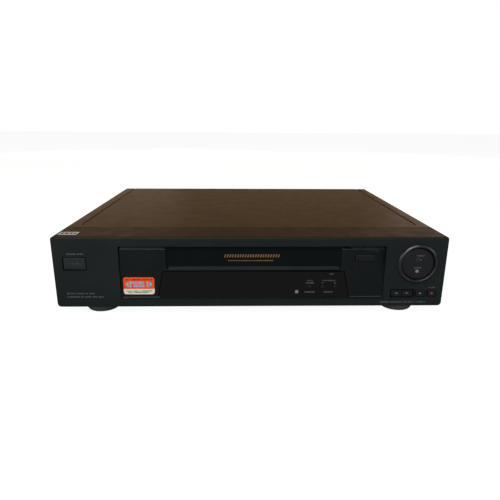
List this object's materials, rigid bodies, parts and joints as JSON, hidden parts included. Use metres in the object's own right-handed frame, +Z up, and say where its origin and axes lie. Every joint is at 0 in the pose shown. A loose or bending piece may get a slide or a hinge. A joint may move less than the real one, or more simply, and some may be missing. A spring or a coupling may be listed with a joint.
{
  "type": "video cassette recorder",
  "caption": "Front-loading home video cassette recorder: brown-black steel cover, black fascia, hinged cassette flap, smoked display window, play and stop rocker, tape deck inside.",
  "frame": {"origin": "on the floor plane under the middle of the whole recorder, at the soles of the feet", "axes": "+X towards the rocker side as seen from in front, +Y from the fascia towards the rear sockets, +Z up"},
  "size_m": [0.43, 0.349, 0.0895],
  "materials": {
    "fascia_plastic": "satin black moulding",
    "panel_plastic": "fine satin black moulding",
    "button_plastic": "satin charcoal",
    "window_plastic": "smoked, polished",
    "ring_plastic": "gloss black",
    "cover_paint": "brown-black satin paint",
    "foot_plastic": "dark grey moulding",
    "zinc_steel": "zinc plated sheet",
    "machined_aluminium": "fine turned",
    "polished_steel": "ground and polished",
    "board_laminate": "brown laminate board",
    "gear_white": "natural acetal",
    "gear_black": "black acetal",
    "roller_rubber": "ground rubber",
    "tube_glass": "dark glass",
    "iron_core": "varnished iron",
    "sink_aluminium": "natural extrusion",
    "sleeve_plastic": "dark blue sleeve"
  },
  "bodies": {
    "casing": {"audio_control_head": "machined_aluminium", "audio_jack_block": "gear_black", "bottom_plate": "zinc_steel", "capstan_motor": "iron_core", "centre_panel": "panel_plastic", "deck_chassis": "zinc_steel", "display_window": "window_plastic", "door_spring": "polished_steel", "erase_head": "machined_aluminium", "fluorescent_display": "tube_glass", "foot_front_left": "foot_plastic", "foot_front_right": "foot_plastic", "foot_rear_left": "foot_plastic", "foot_rear_right": "foot_plastic", "front_control_board": "board_laminate", "front_fascia": "fascia_plastic", "heat_sink": "sink_aluminium", "loader_bracket_left": "zinc_steel", "loader_bracket_right": "zinc_steel", "loading_motor": "zinc_steel", "lower_drum": "machined_aluminium", "main_board": "board_laminate", "mains_inlet": "panel_plastic", "play_stop_ring": "ring_plastic", "power_supply_board": "board_laminate", "rear_panel": "fascia_plastic", "scart_socket_left": "gear_black", "scart_socket_right": "gear_black", "smoothing_capacitor": "sleeve_plastic", "top_cover": "cover_paint", "transformer": "iron_core", "tuner_unit": "zinc_steel"},
    "door": {"cassette_door": "panel_plastic"},
    "power_key": {"power_button": "button_plastic"},
    "eject_key": {"eject_button": "button_plastic"},
    "rewind_key": {"rewind_button": "button_plastic"},
    "fast_forward_key": {"fast_forward_button": "button_plastic"},
    "pause_key": {"pause_button": "button_plastic"},
    "record_key": {"record_button": "button_plastic"},
    "clock_key": {"clock_button": "button_plastic"},
    "minus_key": {"minus_button": "button_plastic"},
    "plus_key": {"plus_button": "button_plastic"},
    "play_stop_rocker": {"play_stop_disc": "button_plastic"},
    "carriage": {"loading_carriage": "zinc_steel"},
    "holder": {"cassette_holder": "zinc_steel"},
    "carriage_drive_gear": {"carriage_gear": "gear_white"},
    "head_drum": {"upper_drum": "machined_aluminium"},
    "flywheel": {"capstan_flywheel": "polished_steel"},
    "pinch_lever": {"pinch_arm": "zinc_steel"},
    "pinch_wheel": {"pinch_roller": "roller_rubber"},
    "supply_reel": {"supply_reel_table": "gear_black"},
    "take_up_reel": {"take_up_reel_table": "gear_black"},
    "idler_lever": {"idler_arm": "zinc_steel"},
    "idler_wheel": {"idler_gear": "gear_white"},
    "tension_lever": {"tension_arm": "zinc_steel"},
    "supply_guide": {"supply_guide_base": "gear_black"},
    "take_up_guide": {"take_up_guide_base": "gear_black"},
    "cam": {"cam_gear": "gear_white"},
    "pinion": {"motor_pinion": "gear_white"}
  },
  "joints": [
    {"name": "door_hinge", "type": "hinge", "parent": "casing", "child": "door", "pos_m": [0.00255, -0.1671, 0.0798], "axis": [1, 0, 0], "range_deg": [0, 92], "stiffness_Nm_per_rad": 0.001, "springref_deg": -28.65},
    {"name": "power_press", "type": "slide", "parent": "casing", "child": "power_key", "axis": [0, 1, 0], "range_m": [0, 0.0012], "stiffness_N_per_m": 400, "springref_m": -0.001},
    {"name": "eject_press", "type": "slide", "parent": "casing", "child": "eject_key", "axis": [0, 1, 0], "range_m": [0, 0.0012], "stiffness_N_per_m": 400, "springref_m": -0.001},
    {"name": "rewind_press", "type": "slide", "parent": "casing", "child": "rewind_key", "axis": [0, 1, 0], "range_m": [0, 0.0012], "stiffness_N_per_m": 400, "springref_m": -0.001},
    {"name": "fast_forward_press", "type": "slide", "parent": "casing", "child": "fast_forward_key", "axis": [0, 1, 0], "range_m": [0, 0.0012], "stiffness_N_per_m": 400, "springref_m": -0.001},
    {"name": "pause_press", "type": "slide", "parent": "casing", "child": "pause_key", "axis": [0, 1, 0], "range_m": [0, 0.0012], "stiffness_N_per_m": 400, "springref_m": -0.001},
    {"name": "record_press", "type": "slide", "parent": "casing", "child": "record_key", "axis": [0, 1, 0], "range_m": [0, 0.0012], "stiffness_N_per_m": 400, "springref_m": -0.001},
    {"name": "clock_press", "type": "slide", "parent": "casing", "child": "clock_key", "axis": [0, 1, 0], "range_m": [0, 0.0012], "stiffness_N_per_m": 400, "springref_m": -0.001},
    {"name": "minus_press", "type": "slide", "parent": "casing", "child": "minus_key", "axis": [0, 1, 0], "range_m": [0, 0.0012], "stiffness_N_per_m": 400, "springref_m": -0.001},
    {"name": "plus_press", "type": "slide", "parent": "casing", "child": "plus_key", "axis": [0, 1, 0], "range_m": [0, 0.0012], "stiffness_N_per_m": 400, "springref_m": -0.001},
    {"name": "play_stop_rock", "type": "hinge", "parent": "casing", "child": "play_stop_rocker", "pos_m": [0.1831, -0.1725, 0.059], "axis": [1, 0, 0], "range_deg": [-4, 4], "stiffness_Nm_per_rad": 0.05},
    {"name": "carriage_slide", "type": "slide", "parent": "casing", "child": "carriage", "axis": [0, 1, 0], "range_m": [0, 0.056]},
    {"name": "holder_drop", "type": "slide", "parent": "carriage", "child": "holder", "axis": [0, 0, -1], "range_m": [0, 0.015]},
    {"name": "carriage_gear_spin", "type": "hinge", "parent": "casing", "child": "carriage_drive_gear", "pos_m": [0.09845, -0.11449, 0.0367], "axis": [1, 0, 0], "range_deg": [-642, 0]},
    {"name": "head_drum_spin", "type": "hinge", "parent": "casing", "child": "head_drum", "pos_m": [-0.00195, -0.00149, 0.0312], "axis": [0, 0.0872, 0.9962], "continuous": true},
    {"name": "capstan_spin", "type": "hinge", "parent": "casing", "child": "flywheel", "pos_m": [0.05805, -0.03649, 0.009], "axis": [0, 0, 1], "continuous": true},
    {"name": "pinch_swing", "type": "hinge", "parent": "casing", "child": "pinch_lever", "pos_m": [0.07805, -0.02249, 0.0285], "axis": [0, 0, 1], "range_deg": [0, 30], "stiffness_Nm_per_rad": 0.004, "springref_deg": -17.19},
    {"name": "pinch_roller_spin", "type": "hinge", "parent": "pinch_lever", "child": "pinch_wheel", "pos_m": [0.05679, -0.01684, 0.0304], "axis": [0, 0, 1], "continuous": true},
    {"name": "supply_reel_spin", "type": "hinge", "parent": "casing", "child": "supply_reel", "pos_m": [-0.04345, -0.10049, 0.0285], "axis": [0, 0, 1], "continuous": true},
    {"name": "take_up_reel_spin", "type": "hinge", "parent": "casing", "child": "take_up_reel", "pos_m": [0.04855, -0.10049, 0.0285], "axis": [0, 0, 1], "continuous": true},
    {"name": "idler_swing", "type": "hinge", "parent": "casing", "child": "idler_lever", "pos_m": [0.00255, -0.12449, 0.0285], "axis": [0, 0, 1], "range_deg": [-25, 25]},
    {"name": "idler_gear_spin", "type": "hinge", "parent": "idler_lever", "child": "idler_wheel", "pos_m": [0.00255, -0.09449, 0.0304], "axis": [0, 0, 1], "continuous": true},
    {"name": "tension_swing", "type": "hinge", "parent": "casing", "child": "tension_lever", "pos_m": [-0.07395, -0.06449, 0.0285], "axis": [0, 0, 1], "range_deg": [0, 20], "stiffness_Nm_per_rad": 0.004, "springref_deg": -17.19},
    {"name": "cam_turn", "type": "hinge", "parent": "casing", "child": "cam", "pos_m": [0.08805, 0.01751, 0.0285], "axis": [0, 0, 1], "range_deg": [0, 180]},
    {"name": "pinion_spin", "type": "hinge", "parent": "casing", "child": "pinion", "pos_m": [0.06571, 0.02939, 0.0285], "axis": [0, 0, 1], "range_deg": [-720.5, 0]},
    {"name": "supply_guide_slide", "type": "slide", "parent": "casing", "child": "supply_guide", "axis": [-0.3846, 0.9231, 0], "range_m": [0, 0.052]},
    {"name": "take_up_guide_slide", "type": "slide", "parent": "casing", "child": "take_up_guide", "axis": [0.3846, 0.9231, 0], "range_m": [0, 0.052]}
  ],
  "couplings": [
    {"joint": "carriage_gear_spin", "follows": "carriage_slide", "rad_per_m": -200},
    {"joint": "pinion_spin", "follows": "cam_turn", "ratio": -4},
    {"joint": "supply_guide_slide", "follows": "cam_turn", "m_per_rad": 0.01655},
    {"joint": "take_up_guide_slide", "follows": "cam_turn", "m_per_rad": 0.01655}
  ]
}
